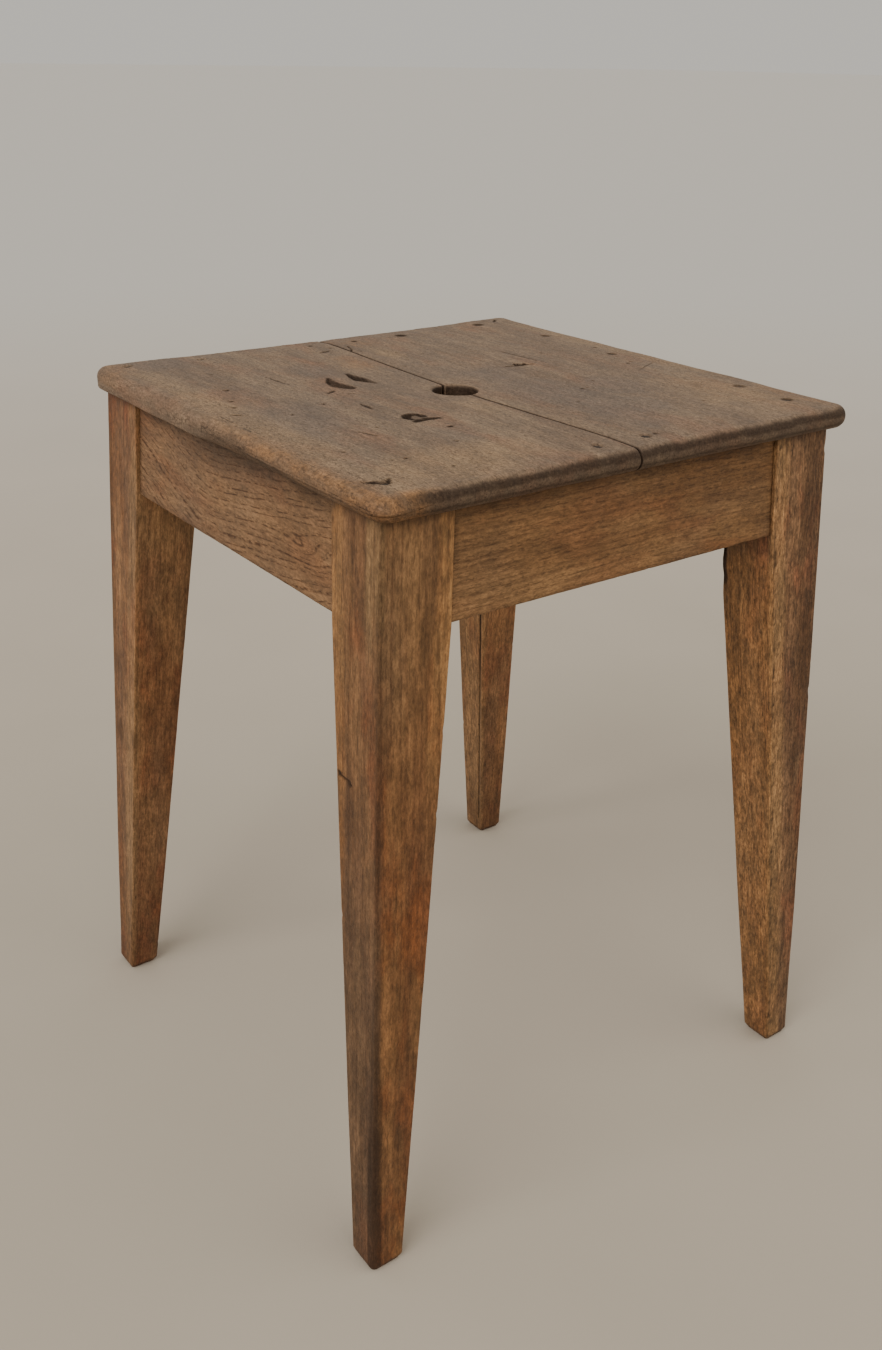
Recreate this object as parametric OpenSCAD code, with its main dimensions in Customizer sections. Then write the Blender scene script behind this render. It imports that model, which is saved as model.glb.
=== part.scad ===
// Square wooden stool: four tapered legs that lean outwards, four aprons tenoned into the legs,
// and a seat of two boards nailed down on the frame. Millimetres, +Z up.
// The origin is on the floor under the middle of the seat, and the front of the stool faces -Y.

/* [Overall] */
// Height of the seat's top face above the floor
stool_h = 450; // [360:1:540]
// Side of the square seat
seat_w = 321; // [280:1:380]
// Outward lean of every leg, to the side and to the front or back alike
lean_deg = 3.2; // [0:0.1:6]

/* [Seat] */
// Thickness of the seat boards
seat_t = 13.5; // [13:0.5:24]
// Roundover on the seat's upper and lower edges
seat_edge_r = 6.2; // [2:0.1:6.4]
// Plan radius of the seat's four corners
seat_corner_r = 10; // [8:0.5:30]
// How far the seat's edge stands out past the legs
seat_overhang = 7.5; // [3:0.5:20]
// How far the seat sits off the middle of the frame, to the right
seat_shift_x = 1; // [-4:0.5:4]
// How far the seat sits off the middle of the frame, to the back
seat_shift_y = -2; // [-4:0.5:4]
// Where the seam between the two boards meets the seat's front edge, measured from the middle
seam_front_x = -2.5; // [-40:0.5:40]
// Where the seam lies at the finger hole
seam_hole_x = -7; // [-40:0.5:40]
// Where the seam meets the seat's back edge
seam_back_x = 0; // [-40:0.5:40]
// Width of the open seam between the boards
seam_gap = 0.8; // [0.2:0.1:2]
// Diameter of the finger hole on the seam
finger_hole_d = 26; // [20:0.5:40]
// Where the finger hole is centred, from the middle to the right
finger_hole_x = -8; // [-40:0.5:40]
// Where the finger hole is centred, from the middle to the back
finger_hole_y = -12; // [-60:0.5:60]

/* [Legs] */
// Side of the square leg beside the aprons
leg_w = 42; // [34:0.5:56]
// Side of the square foot, on the floor
foot_w = 21; // [16:0.5:36]

/* [Aprons] */
// Height of the aprons
apron_h = 58.5; // [45:0.5:90]
// Thickness of the aprons
apron_t = 20; // [16:0.5:26]
// How far the aprons' faces lie behind the legs' outer faces
apron_setback = 2.3; // [0:0.1:5]
// Length of the tenons
tenon_l = 18; // [12:0.5:19]
// Thickness of the tenons
tenon_t = 8; // [5:0.5:10]
// Shoulder above and below each tenon
tenon_shoulder = 9; // [5:0.5:15]
// Glue space at the bottom of each mortise
glue_space = 1; // [0.5:0.1:2]

/* [Nails] */
// Diameter of the nail's shank
nail_d = 2.2; // [1.6:0.1:3]
// Length of the nail under its head
nail_l = 38; // [30:1:50]
// Length of the nail's point
nail_point_l = 4; // [2:0.5:6]
// Diameter of the nail's head
nail_head_d = 4.6; // [3:0.1:7]
// Thickness of the nail's head
nail_head_t = 1.2; // [0.6:0.1:2]
// How far the head is punched below the seat's top face
nail_sink = 0.6; // [0:0.1:2]
// Play around the nail in its hole
nail_play = 0.05; // [0.02:0.01:0.2]

/* [Hidden] */
$fn = 48;
eps = 0.01;
seat_z = stool_h - seat_t;
apron_z = seat_z - apron_h;
lean = tan(lean_deg);
top_half = seat_w / 2 - seat_overhang;
foot_half = top_half + lean * seat_z;
tenon_z0 = apron_z + tenon_shoulder;
tenon_z1 = seat_z - tenon_shoulder;
tenon_setback = apron_setback + (apron_t - tenon_t) / 2;
tenon_tip = top_half - leg_w + tenon_l;
reach = stool_h + seat_w;

// Nail places as [x, y] from the middle of the seat, board by board
nails_left_board = [[-142, 144], [-95, 138], [-19, -147], [-141.5, -140]];
nails_right_board = [[15, -146], [138, -134], [140, -96], [138, 13], [140, 83], [124, 139], [54, 135]];
nails = concat(nails_left_board, nails_right_board);

seat_color = [0.47, 0.40, 0.33];
leg_color = [0.55, 0.40, 0.26];
apron_color = [0.50, 0.37, 0.25];
nail_color = [0.20, 0.18, 0.17];

// Distance from the middle to the legs' outer faces at height z
function outer(z) = top_half + lean * (seat_z - z);

// Distance from the middle to the legs' inner faces at height z, beside the aprons
function inner(z) = outer(z) - leg_w;

// Leaning strip between heights z0 and z1, from set_out to set_in behind the outer face
function strip(z0, z1, set_out, set_in) = [
    [outer(z0) - set_in, z0],
    [outer(z0) - set_out, z0],
    [outer(z1) - set_out, z1],
    [outer(z1) - set_in, z1]
];

// Trapezium between the two legs' shoulders, carried past them by extra
function span(z0, z1, extra) = [
    [-inner(z0) - extra, z0],
    [inner(z0) + extra, z0],
    [inner(z1) + extra, z1],
    [-inner(z1) - extra, z1]
];

// Solid whose front view is the polygon xz and whose side view is the polygon yz
module from_views(xz, yz) {
    intersection() {
        rotate([90, 0, 0])
            linear_extrude(height = reach, center = true)
                polygon(xz);
        rotate([90, 0, 90])
            linear_extrude(height = reach, center = true)
                polygon(yz);
    }
}

// Carries children, made at the back right, to the corner with signs sx and sy
module at_corner(sx, sy) {
    mirror([sx < 0 ? 1 : 0, 0, 0])
        mirror([0, sy < 0 ? 1 : 0, 0])
            children();
}

// ---- nails ----

module nail(at) {
    translate([at[0], at[1], stool_h - nail_sink - nail_head_t]) {
        cylinder(h = nail_head_t, d = nail_head_d);
        translate([0, 0, nail_point_l - nail_l])
            cylinder(h = nail_l - nail_point_l + eps, d = nail_d);
        translate([0, 0, -nail_l])
            cylinder(h = nail_point_l, d1 = 0.4, d2 = nail_d);
    }
}

// Hole that a nail makes: a sunk seat for the head and a bore for the shank
module nail_hole(at) {
    translate([at[0], at[1], stool_h - nail_sink - nail_head_t]) {
        cylinder(h = nail_sink + nail_head_t + 1, d = nail_head_d + 2 * nail_play);
        translate([0, 0, -nail_l - nail_play])
            cylinder(h = nail_l + 1, d = nail_d + 2 * nail_play);
    }
}

// The nail holes of a list that fall in the part of the frame between two plan corners
module nail_holes_in(low, high) {
    for (at = nails)
        if (at[0] > low[0] && at[0] < high[0] && at[1] > low[1] && at[1] < high[1])
            nail_hole(at);
}

// ---- seat ----

// Section of the seat's edge, from the corner's centre outwards
module seat_edge_section() {
    flat = seat_corner_r - seat_edge_r;
    square([flat, seat_t]);
    translate([0, seat_edge_r])
        square([seat_corner_r, seat_t - 2 * seat_edge_r]);
    for (z = [seat_edge_r, seat_t - seat_edge_r])
        translate([flat, z])
            circle(r = seat_edge_r);
}

module seat_slab() {
    half = seat_w / 2 - seat_corner_r;
    translate([seat_shift_x, seat_shift_y, seat_z]) {
        translate([-half, -half, 0])
            cube([2 * half, 2 * half, seat_t]);
        for (turn = [0 : 90 : 270])
            rotate([0, 0, turn]) {
                translate([half, 0, 0])
                    rotate([90, 0, 0])
                        linear_extrude(height = 2 * half, center = true)
                            intersection() {
                                seat_edge_section();
                                square([seat_corner_r, seat_t]);
                            }
                translate([half, half, 0])
                    rotate_extrude(angle = 90)
                        intersection() {
                            seat_edge_section();
                            square([seat_corner_r, seat_t]);
                        }
            }
    }
}

// The seam's line in plan, moved sideways by shift
function seam(shift) = [
    [seam_front_x + shift, -seat_w],
    [seam_front_x + shift, seat_shift_y - seat_w / 2],
    [seam_hole_x + shift, finger_hole_y],
    [seam_back_x + shift, seat_shift_y + seat_w / 2],
    [seam_back_x + shift, seat_w]
];

// One board: the slab's part inside the plan outline, with its share of the finger hole and nail holes
module seat_board(outline, board_nails) {
    difference() {
        intersection() {
            seat_slab();
            translate([0, 0, seat_z - 1])
                linear_extrude(height = seat_t + 2)
                    polygon(outline);
        }
        translate([finger_hole_x, finger_hole_y, seat_z - 1])
            cylinder(h = seat_t + 2, d = finger_hole_d);
        for (at = board_nails)
            nail_hole(at);
    }
}

module seat_board_left() {
    color(seat_color)
        seat_board(concat(seam(-seam_gap / 2), [[-seat_w, seat_w], [-seat_w, -seat_w]]), nails_left_board);
}

module seat_board_right() {
    color(seat_color)
        seat_board(concat(seam(seam_gap / 2), [[seat_w, seat_w], [seat_w, -seat_w]]), nails_right_board);
}

// ---- legs ----

// Side view of the back right leg: outer face leaning, inner face tapered below the apron
function leg_view() = [
    [foot_half - foot_w, 0],
    [foot_half, 0],
    [top_half, seat_z],
    [top_half - leg_w, seat_z],
    [inner(apron_z), apron_z]
];

// Mortise for the tenon of the back apron, in the back right leg
module mortise() {
    from_views(
        strip(tenon_z0, tenon_z1, leg_w - tenon_l - glue_space, leg_w + 5),
        strip(tenon_z0, tenon_z1, tenon_setback, tenon_setback + tenon_t)
    );
}

module leg(sx, sy) {
    difference() {
        at_corner(sx, sy)
            difference() {
                from_views(leg_view(), leg_view());
                mortise();
                mirror([1, -1, 0])
                    mortise();
            }
        nail_holes_in(
            [sx > 0 ? 0 : -seat_w, sy > 0 ? inner(seat_z) : -seat_w],
            [sx > 0 ? seat_w : -inner(seat_z), sy > 0 ? seat_w : -inner(seat_z)]
        );
    }
}

module leg_front_left() {
    color(leg_color)
        leg(-1, -1);
}

module leg_front_right() {
    color(leg_color)
        leg(1, -1);
}

module leg_back_left() {
    color(leg_color)
        leg(-1, 1);
}

module leg_back_right() {
    color(leg_color)
        leg(1, 1);
}

// ---- aprons ----

// Back apron with a tenon at each end
module apron_blank() {
    from_views(
        span(apron_z, seat_z, 0),
        strip(apron_z, seat_z, apron_setback, apron_setback + apron_t)
    );
    from_views(
        span(tenon_z0, tenon_z1, tenon_l),
        strip(tenon_z0, tenon_z1, tenon_setback, tenon_setback + tenon_t)
    );
}

// Apron turned about the stool's middle from the back to its own side, with the nail holes
// that fall in it or in its tenons
module apron(turn, low, high) {
    difference() {
        rotate([0, 0, turn])
            apron_blank();
        nail_holes_in(low, high);
    }
}

module apron_back() {
    color(apron_color)
        apron(0, [-tenon_tip, 0], [tenon_tip, seat_w]);
}

module apron_left() {
    color(apron_color)
        apron(90, [-seat_w, -tenon_tip], [0, tenon_tip]);
}

module apron_front() {
    color(apron_color)
        apron(180, [-tenon_tip, -seat_w], [tenon_tip, 0]);
}

module apron_right() {
    color(apron_color)
        apron(270, [0, -tenon_tip], [seat_w, tenon_tip]);
}

module seat_nails() {
    color(nail_color)
        for (at = nails)
            nail(at);
}

seat_board_left();
seat_board_right();
leg_front_left();
leg_front_right();
leg_back_left();
leg_back_right();
apron_front();
apron_back();
apron_left();
apron_right();
seat_nails();
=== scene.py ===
"""An old wooden stool: worn seat boards, legs, aprons and nails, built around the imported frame.

Shapes are worked out in millimetres, in the frame's own axes: +Z up, the stool's front towards -Y.
They become metres where a mesh is made.
"""

import itertools
import math

import bmesh
import bpy
import numpy as np
from mathutils import Matrix, Vector


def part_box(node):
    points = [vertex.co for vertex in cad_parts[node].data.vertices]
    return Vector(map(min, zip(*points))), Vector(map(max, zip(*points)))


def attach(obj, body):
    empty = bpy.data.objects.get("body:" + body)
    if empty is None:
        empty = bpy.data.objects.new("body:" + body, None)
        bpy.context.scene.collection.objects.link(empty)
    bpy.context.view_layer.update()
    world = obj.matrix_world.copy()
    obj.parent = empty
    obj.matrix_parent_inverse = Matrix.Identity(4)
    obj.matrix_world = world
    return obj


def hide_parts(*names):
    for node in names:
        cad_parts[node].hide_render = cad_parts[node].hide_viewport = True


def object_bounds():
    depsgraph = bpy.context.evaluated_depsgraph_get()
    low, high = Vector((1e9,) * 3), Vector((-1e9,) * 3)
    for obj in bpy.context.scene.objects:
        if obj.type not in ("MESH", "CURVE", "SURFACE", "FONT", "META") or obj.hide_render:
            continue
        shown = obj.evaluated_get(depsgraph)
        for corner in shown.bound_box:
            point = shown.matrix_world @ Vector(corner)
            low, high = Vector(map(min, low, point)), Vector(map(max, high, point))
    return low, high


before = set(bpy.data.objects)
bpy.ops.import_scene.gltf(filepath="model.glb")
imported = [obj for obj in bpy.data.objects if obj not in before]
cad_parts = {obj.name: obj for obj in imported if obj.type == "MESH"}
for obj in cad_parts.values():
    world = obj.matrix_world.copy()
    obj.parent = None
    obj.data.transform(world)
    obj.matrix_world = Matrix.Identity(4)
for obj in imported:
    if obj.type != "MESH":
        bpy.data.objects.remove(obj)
cad_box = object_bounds()
MM = 0.001


# ---- sizes, from the frame ----

def low(node, axis):
    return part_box(node)[0][axis] / MM


def high(node, axis):
    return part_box(node)[1][axis] / MM


SEAT_TOP = high("seat_board_left", 2)
SEAT_UNDER = low("seat_board_left", 2)
SEAT_LEFT = low("seat_board_left", 0)
SEAT_RIGHT = high("seat_board_right", 0)
SEAT_FRONT = low("seat_board_left", 1)
SEAT_BACK = high("seat_board_left", 1)
SEAT_HALF = (SEAT_RIGHT - SEAT_LEFT) / 2
SEAT_MIDDLE = np.array([SEAT_LEFT + SEAT_RIGHT, SEAT_FRONT + SEAT_BACK]) / 2
SEAT_CORNER_R = 10.0
SEAT_EDGE_R = 6.2
SEAM_GAP = 0.8
SEAM_FRONT_X = -2.5
SEAM_HOLE_X = -7.0
SEAM_BACK_X = high("seat_board_left", 0) + SEAM_GAP / 2
HOLE = np.array([-8.0, -12.0])
HOLE_R = 13.0

APRON_UNDER = low("apron_back", 2)
FOOT_HALF = high("leg_back_right", 0)
LEG_W = 42.0
FOOT_W = 21.0
TOP_HALF = low("leg_back_right", 0) + LEG_W
LEAN = (FOOT_HALF - TOP_HALF) / SEAT_UNDER
APRON_T = 20.0
APRON_SETBACK = 2.3

# Each nail: x, y, and the radius and strength of the stain round it.
NAILS = [(-142, 144, 2.8, 0.6), (-95, 138, 2.6, 0.5), (-19, -147, 3.2, 0.5), (-141.5, -140, 3.2, 0.9),
         (15, -146, 3.2, 0.6), (138, -134, 3.8, 0.95), (140, -96, 4.8, 0.65), (138, 13, 3.6, 0.85),
         (140, 83, 3.6, 0.9), (124, 139, 4.6, 0.95), (54, 135, 5.0, 0.95)]


def outer(z):
    """Distance from the middle to the legs' outer faces at height z."""
    return TOP_HALF + LEAN * (SEAT_UNDER - z)


def inner(z):
    """Distance from the middle to the legs' inner faces at height z, where they taper below the aprons."""
    return outer(z) - FOOT_W - (LEG_W - FOOT_W) * np.minimum(z / APRON_UNDER, 1.0)


# ---- noise and falloffs on arrays of points ----

HASH_STEPS = np.array([374761393, 668265263, 1103515245])
HASH_MIX = 1274126177
HASH_MASK = 0xFFFFFFFF


def value_noise(points, seed=0):
    """Smooth noise from -1 to 1 at an (n, 3) array of points, with one cell a unit."""
    points = np.asarray(points, float)
    cell = np.floor(points).astype(np.int64)
    blend = points - cell
    blend = blend * blend * (3 - 2 * blend)
    total = np.zeros(len(points))
    for corner in itertools.product((0, 1), repeat=3):
        at = (cell + corner) & 0xFFFF
        h = (at @ HASH_STEPS + seed * HASH_MIX) & HASH_MASK
        h = ((h ^ (h >> 13)) * HASH_MIX) & HASH_MASK
        h ^= h >> 16
        weight = np.prod(np.where(corner, blend, 1 - blend), axis=1)
        total += weight * (h / 2.0**31 - 1)
    return total


def rough_noise(points, cell_mm, seed=0, octaves=3):
    """Noise of several octaves, the largest with cells of cell_mm, which may be one number or three."""
    scaled = np.asarray(points, float) / np.asarray(cell_mm, float)
    return sum(value_noise(scaled * 2**i, seed + 17 * i) / 2**i for i in range(octaves))


def rise(value, start, end):
    """0 below start, 1 above end, and smooth between them. With end below start it falls instead."""
    t = np.clip((np.asarray(value, float) - start) / (end - start), 0, 1)
    return t * t * (3 - 2 * t)


def along_segment(points, a, b):
    """(share of the way from a to b, distance from the segment) for an array of points."""
    a, b = np.array(a, float), np.array(b, float)
    step = b - a
    share = np.clip((points - a) @ step / (step @ step), 0, 1)
    return share, np.linalg.norm(points - a - share[:, None] * step, axis=1)


# ---- meshes ----

def make_piece(name, points, faces, paint, replaced):
    """A smooth mesh piece from points in millimetres, with four amounts at each point for worn colour and
    painted light.
    Wear only takes material away, so no point stands outside the CAD's box."""
    inside = np.clip(np.asarray(points) * MM, *np.array(cad_box, float))
    mesh = bpy.data.meshes.new(name)
    mesh.from_pydata(inside.tolist(), [], faces)
    mesh.validate()
    mesh.polygons.foreach_set("use_smooth", [True] * len(mesh.polygons))
    if paint is not None:
        layer = mesh.attributes.new("wear_and_painted_light", "FLOAT_COLOR", "POINT")
        layer.data.foreach_set("color", np.clip(paint, 0, 1).ravel().astype(np.float32))
    piece = bpy.data.objects.new(name, mesh)
    bpy.context.scene.collection.objects.link(piece)
    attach(piece, "root")
    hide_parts(*replaced)
    return piece


def strip_faces(rows, columns, closed=False):
    """Quads between neighbouring rows of points; closed joins the last column to the first."""
    index = np.arange(rows * columns).reshape(rows, columns)
    if closed:
        index = np.column_stack([index, index[:, 0]])
    corners = [index[:-1, :-1], index[:-1, 1:], index[1:, 1:], index[1:, :-1]]
    return np.stack(corners, axis=-1).reshape(-1, 4)


def normals_of(points, faces):
    """Unit normals at the points of a mesh of quads."""
    quads = points[faces]
    face_normals = np.cross(quads[:, 2] - quads[:, 0], quads[:, 3] - quads[:, 1])
    total = np.zeros_like(points)
    for k in range(4):
        np.add.at(total, faces[:, k], face_normals)
    return total / np.maximum(np.linalg.norm(total, axis=1), 1e-9)[:, None]


# ---- wear amounts and painted light ----

# The four channels: the first darkens for grime and also for painted shade, and the warm and light channels
# also carry painted light on the front right leg.
DIRT_AND_SHADE, WARM, GREY, LIGHT = 0, 1, 2, 3


def blank_wear(points):
    """Nothing laid yet: no grime, warm rub, grey weathering or lightening. In places the grime and grey
    amounts also hold painted shade, and the warm and lightening amounts painted light.
    """
    return np.zeros((len(points), 4))


def lay(wear_and_painted_light, channel, value):
    """Keeps the stronger of what is there and the new value."""
    wear_and_painted_light[:, channel] = np.maximum(wear_and_painted_light[:, channel], value)


def stroke(wear_and_painted_light, channel, points, path, width, strength):
    """Lays wear along a path of points, fading out over width millimetres."""
    for a, b in zip(path[:-1], path[1:]):
        _, distance = along_segment(points, a, b)
        lay(wear_and_painted_light, channel, strength * rise(distance, width, width * 0.25))


# ---- bars: legs and aprons ----

SIDE_STEPS = 26
ARC_STEPS = 6


def ring(corners, radii):
    """Closed outline of a four-cornered section whose corners are rounded by the given radii."""
    points = []
    for i in range(4):
        here, after, before = corners[i], corners[(i + 1) % 4], corners[i - 1]
        to_after = (after - here) / np.linalg.norm(after - here)
        to_before = (before - here) / np.linalg.norm(before - here)
        start, end = here + to_before * radii[i], here + to_after * radii[i]
        for t in np.linspace(0, 1, ARC_STEPS + 1):
            points.append((1 - t)**2 * start + 2 * t * (1 - t) * here + t * t * end)
        far = after - to_after * radii[(i + 1) % 4]
        for t in np.linspace(0, 1, SIDE_STEPS + 1)[1:-1]:
            points.append(end + t * (far - end))
    return np.array(points)


RING_POINTS = 4 * (ARC_STEPS + SIDE_STEPS)


def bar(name, rings, shape, wear_and_painted_light_of, replaced):
    """A bar through the given rings with flat ends. shape moves its points, wear_and_painted_light_of marks them."""
    first, last = rings[0].mean(axis=0), rings[-1].mean(axis=0)
    shrink = (0.55, 0.12)
    start = [first + (rings[0] - first) * s for s in shrink[::-1]]
    end = [last + (rings[-1] - last) * s for s in shrink]
    stack = np.array([*start, *rings, *end])
    points = stack.reshape(-1, 3)
    quads = strip_faces(len(stack), RING_POINTS, closed=True)
    moved = points + shape(points, normals_of(points, quads))
    caps = [list(range(RING_POINTS))[::-1], list(range(len(points) - RING_POINTS, len(points)))]
    return make_piece(name, moved, quads.tolist() + caps, wear_and_painted_light_of(points), replaced)


def leg_heights():
    """Heights of a leg's rings, closer together at the foot's rounded edge."""
    return np.concatenate([[0, 0.25, 0.9, 2.0, 3.4], np.linspace(5, SEAT_UNDER, 300)])


def leg_rings(sx, sy, foot_shift):
    """Rings of the leg at signs sx, sy, from the floor up. foot_shift is how far its foot strays."""
    rings = []
    for z in leg_heights():
        tuck = 1.5 * (1 - rise(z, 0, 3.4))
        stray = np.array(foot_shift) * (1 - z / SEAT_UNDER)
        x_out, x_in = sx * (outer(z) - tuck) + stray[0], sx * (inner(z) + tuck) + stray[0]
        y_out, y_in = sy * (outer(z) - tuck) + stray[1], sy * (inner(z) + tuck) + stray[1]
        worn = 1.2 * rise(z, 120, 0)
        corners = np.array([[x_out, y_out, z], [x_in, y_out, z], [x_in, y_in, z], [x_out, y_in, z]])
        radii = [1.3 + 1.6 * worn, 0.9 + worn, 1.0 + worn, 0.9 + worn]
        if sx * sy < 0:
            corners, radii = corners[::-1], radii[::-1]
        rings.append(ring(corners, radii))
    return rings


def cut_depth(points, cuts):
    """Depth of the cracks and scratches at the points. Each cut is (path, half width, depth)."""
    depth = np.zeros(len(points))
    for path, width, deep in cuts:
        for a, b in zip(path[:-1], path[1:]):
            _, distance = along_segment(points, a, b)
            depth = np.maximum(depth, deep * rise(distance, width, width * 0.3))
    return depth


def worn_surface(seed, cuts, amount=0.18):
    """A shape function for bars: slow waves, a fine ripple, small dents and the given cuts."""
    def shape(points, normals):
        waves = rough_noise(points, (30, 30, 110), seed) * amount
        ripple = rough_noise(points, (3.5, 3.5, 14), seed + 5) * 0.05
        dents = -0.4 * rise(rough_noise(points, 9.0, seed + 9, 1), 0.66, 0.95)
        return normals * (waves + ripple + dents - cut_depth(points, cuts))[:, None]
    return shape


def wane_depth(points):
    """How far the front right leg is cut back at its inner arris, where its plank kept a ragged edge
    under the apron."""
    x, y, z = points.T
    corner = np.hypot(inner(z) - x, -inner(z) - y)
    ragged = rough_noise(points, (90, 90, 10), 71)
    reach = rise(z, 326, 352) * rise(z, APRON_UNDER + 4, APRON_UNDER)
    depth = (1.2 + 1.9 * rise(z, 350, 374) + 0.7 * ragged) * reach
    return np.maximum(depth, 0) * rise(corner, 6.0, 1.5)


def wane_shape(base):
    """Adds that ragged edge to a shape function."""
    def shape(points, normals):
        return base(points, normals) - normals * wane_depth(points)[:, None]
    return shape


def leg_wear_and_painted_light(sx, sy, leg):
    """Wear function for a leg: darker just under the seat, grime at the foot, darker arrises, its own marks.
    """
    seed = leg["seed"]

    def wear_and_painted_light_of(points):
        wear_and_painted_light = blank_wear(points)
        z = points[:, 2]
        off_arris = np.hypot(outer(z) - sx * points[:, 0], outer(z) - sy * points[:, 1])
        speckle = rough_noise(points, (9, 9, 30), seed)
        lay(wear_and_painted_light, DIRT_AND_SHADE, 0.42 * rise(z, 120, 0) * rise(speckle, -0.9, 0.6))
        lay(wear_and_painted_light, DIRT_AND_SHADE, 0.50 * rise(z, SEAT_UNDER - 8, SEAT_UNDER - 1))
        lay(wear_and_painted_light, DIRT_AND_SHADE, 0.6 * rise(z, 7, 1))
        grimy = rise(off_arris, 7, 2) * rise(rough_noise(points, (12, 12, 60), seed + 3), -0.6, 0.6)
        lay(wear_and_painted_light, DIRT_AND_SHADE, 0.25 * grimy)
        wear_and_painted_light[:, GREY] = 0.5 * rise(rough_noise(points, (25, 25, 120), seed + 6), -0.5, 0.9)
        leg["marks"](wear_and_painted_light, points)
        lay(wear_and_painted_light, DIRT_AND_SHADE, np.clip(cut_depth(points, leg["cuts"]) / 0.4, 0, 1))
        return wear_and_painted_light
    return wear_and_painted_light_of


def on_left_face(points):
    """1 on a bar's face towards -X, 0 elsewhere."""
    return rise(-points[:, 0], outer(points[:, 2]) - 5, outer(points[:, 2]) - 1.5)


def on_front_face(points):
    """1 on a bar's face towards -Y, 0 elsewhere."""
    return rise(-points[:, 1], outer(points[:, 2]) - 5, outer(points[:, 2]) - 1.5)


def front_left_marks(wear_and_painted_light, points):
    """The near leg: paler edges beside the aprons and at its top, greyer and grimier towards its
    foot, with a dark outer arris, a thin dark streak and a smudge."""
    x, y, z = points.T
    left, front = on_left_face(points), on_front_face(points)
    ragged = 1.5 * rough_noise(points, (6, 6, 40), 5)
    flecks = rough_noise(points, (3, 3, 9), 8)
    rub = rise(x + ragged, -inner(z) - 11, -inner(z) - 7) * front * rise(z, 255, 360)
    lay(wear_and_painted_light, LIGHT, rub * (0.85 + 0.2 * flecks))
    lay(wear_and_painted_light, WARM, 0.40 * rub)
    smoky = rise(np.abs(x + ragged + inner(z) + 14), 6, 2) * front
    smoky = smoky * rise(z, 300, 345) * rise(z, 425, 395)
    lay(wear_and_painted_light, DIRT_AND_SHADE, smoky * np.clip(0.34 + 0.25 * rough_noise(points, (8, 8, 16), 9), 0, 1))
    lay(wear_and_painted_light, DIRT_AND_SHADE, front * (0.06 + 0.34 * rise(z, 260, 70)) * rise(ragged, -1.8, 1.0))
    lay(wear_and_painted_light, LIGHT, 0.40 * front * rise(z, 270, 400))
    side_edge = rise(y + ragged, -outer(z) + 28, -outer(z) + 34) * left
    lay(wear_and_painted_light, WARM, 0.32 * side_edge * rise(z, 180, 330))
    lay(wear_and_painted_light, LIGHT, 0.55 * side_edge * rise(z, 230, 350))
    by_arris = left * rise(y + ragged, -outer(z) + 15, -outer(z) + 8)
    lay(wear_and_painted_light, LIGHT, 0.75 * by_arris * rise(z, 330, 400))
    lay(wear_and_painted_light, GREY, left * (0.40 + 0.45 * rise(z, 340, 160)) * (1 - 0.6 * side_edge))
    lay(wear_and_painted_light, DIRT_AND_SHADE, left * (0.42 * rise(z, 330, 100)) * rise(ragged, -2.0, 0.6))
    corner = np.hypot(x + outer(z), y + outer(z)) + 0.6 * ragged
    width = 2.4 + 3.2 * rise(z, 190, 90)
    dark_corner = rise(corner, width + 1.4, width - 1.4) * rise(z, 428, 405)
    lay(wear_and_painted_light, DIRT_AND_SHADE, (0.50 + 0.32 * rise(z, 170, 80)) * dark_corner)
    bends = ((-131, 436), (-131, 355), (-139, 225), (-156, 117), (-164, 60))
    streak = [(-outer(h), y_at, h) for y_at, h in bends]
    stroke(wear_and_painted_light, DIRT_AND_SHADE, points + ragged[:, None] * 0.5, streak, 2.6, 0.38)
    smudge = [(-145.0, -outer(62), 66.0), (-143.0, -outer(44), 44.0)]
    stroke(wear_and_painted_light, DIRT_AND_SHADE, points + ragged[:, None], smudge, 7.0, 0.75)


def front_right_marks(wear_and_painted_light, points):
    """The right leg: a dark ragged corner, a pale strip and dark flecks by the inner arris, an inner face
    made paler and warmer below about 360 mm as painted light, and a darker foot."""
    x, _, z = points.T
    front, left = on_front_face(points), rise(x, inner(z) + 3, inner(z) + 0.8)
    ragged = 1.4 * rough_noise(points, (5, 5, 22), 15)
    lay(wear_and_painted_light, DIRT_AND_SHADE, rise(wane_depth(points), 0.15, 0.7))
    strip = rise(x + ragged, inner(z) + 14, inner(z) + 7) * front
    lay(wear_and_painted_light, LIGHT, 0.85 * strip)
    lay(wear_and_painted_light, WARM, 0.22 * strip)
    lay(wear_and_painted_light, DIRT_AND_SHADE, 0.30 * front * rise(x + 2 * ragged, inner(z) + 16, inner(z) + 27))
    torn = rise(np.abs(x - inner(z) - 2.0 + 0.5 * ragged), 1.6, 0.5) * front
    lay(wear_and_painted_light, DIRT_AND_SHADE, 0.85 * torn * rise(rough_noise(points, (3, 3, 5), 19), 0.05, 0.5))
    # Painted light: the lower part of the inner face lies in the seat's shadow, so it is made paler and
    # warmer to look more brightly lit.
    lay(wear_and_painted_light, WARM, 0.38 * left * rise(z, 372, 350))
    lay(wear_and_painted_light, LIGHT, 0.35 * left * rise(z, 372, 350))
    lay(wear_and_painted_light, DIRT_AND_SHADE, 0.15 * left * rise(z, 352, 376) * rise(z, 398, 378))
    lay(wear_and_painted_light, DIRT_AND_SHADE, 0.34 * front * rise(z, 200, 60) * rise(ragged, -1.8, 0.8))


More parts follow.
